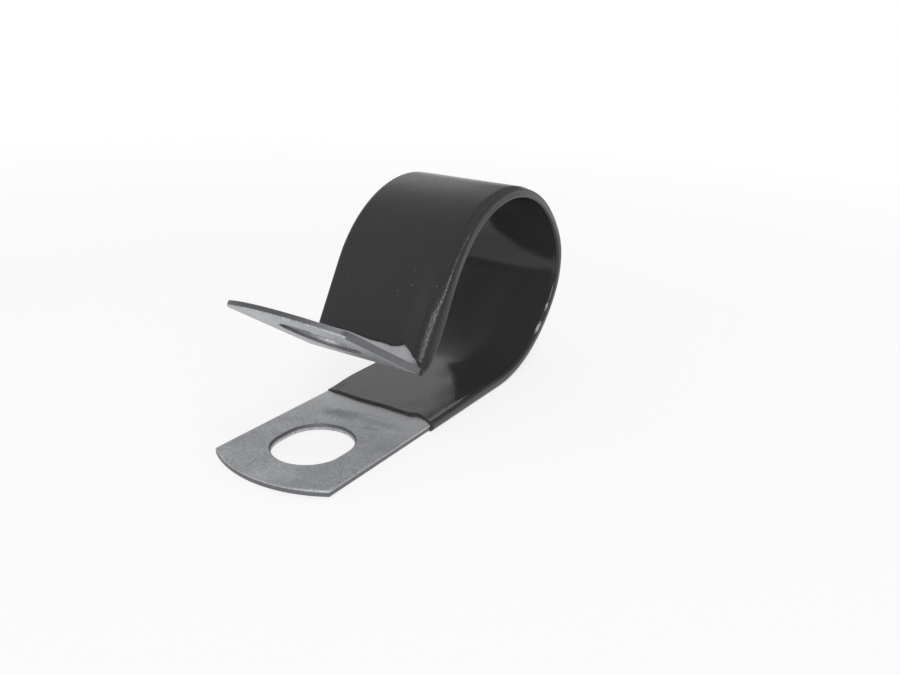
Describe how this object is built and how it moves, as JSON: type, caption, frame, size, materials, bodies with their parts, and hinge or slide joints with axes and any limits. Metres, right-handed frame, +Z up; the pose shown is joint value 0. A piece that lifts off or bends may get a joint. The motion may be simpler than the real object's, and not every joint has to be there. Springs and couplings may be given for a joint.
{
  "type": "pvc coated loop clamp",
  "caption": "Open steel loop clamp with a dipped PVC coating and two bare slotted ears, bolted down to hold a pipe, hose or cable bundle.",
  "frame": {"origin": "on the surface the clamp stands on, under the centre of the lower ear's slot", "axes": "+X along the held pipe, +Y from the lower slot towards the loop, +Z up from the surface the clamp is bolted to"},
  "size_m": [0.0198, 0.0647, 0.0316],
  "materials": {
    "zinc_coated_steel": "zinc coated, satin",
    "black_pvc": "dipped, glossy"
  },
  "bodies": {
    "root": {"steel_strap": "zinc_coated_steel", "pvc_coating": "black_pvc"}
  },
  "joints": []
}
